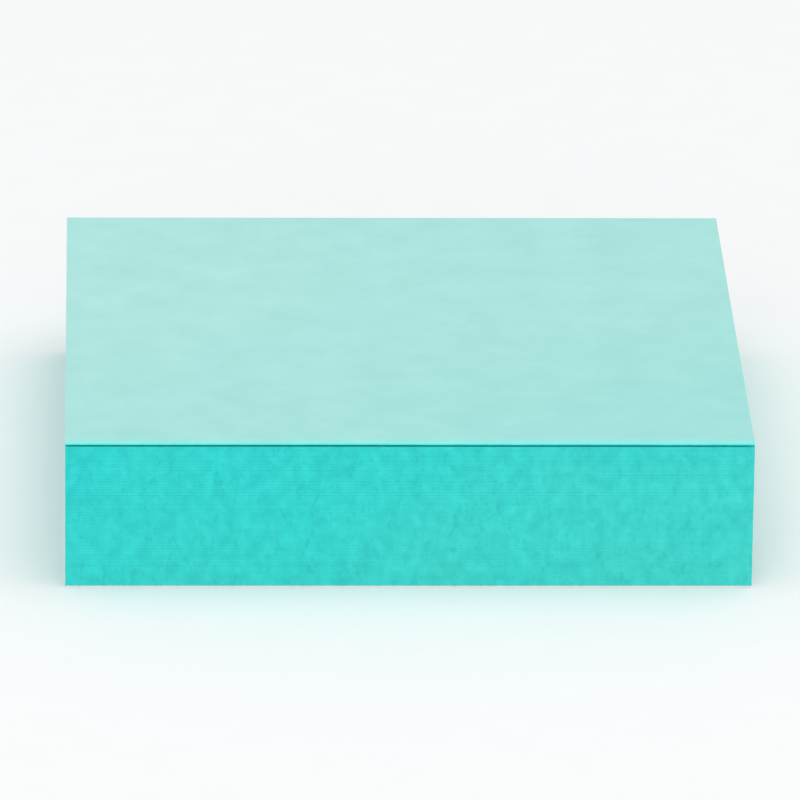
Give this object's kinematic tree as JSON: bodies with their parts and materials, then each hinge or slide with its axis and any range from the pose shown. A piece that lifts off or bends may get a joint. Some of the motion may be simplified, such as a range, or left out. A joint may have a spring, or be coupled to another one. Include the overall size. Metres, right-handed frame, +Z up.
{
  "type": "sticky note pad",
  "caption": "Square pad of teal self-stick notes, bonded along one edge so that each note peels off, on a plain backing sheet.",
  "frame": {"origin": "centre of the pad's underside, on the surface it rests on", "axes": "+Z up through the notes, -Y towards the free edge where a note is lifted, +Y towards the glued edge, +X to the right when the free edge faces the viewer"},
  "size_m": [0.0476, 0.0476, 0.0106],
  "materials": {
    "note_paper": "uncoated teal note paper, matte; the flat face looks pale and the cut edges look deep",
    "adhesive": "thin clear film of removable adhesive, dull and slightly grainy",
    "backing_paper": "plain white uncoated paper, matte"
  },
  "bodies": {
    "root": {"note_block": "note_paper", "adhesive_strip": "adhesive", "backing_sheet": "backing_paper"}
  },
  "joints": []
}
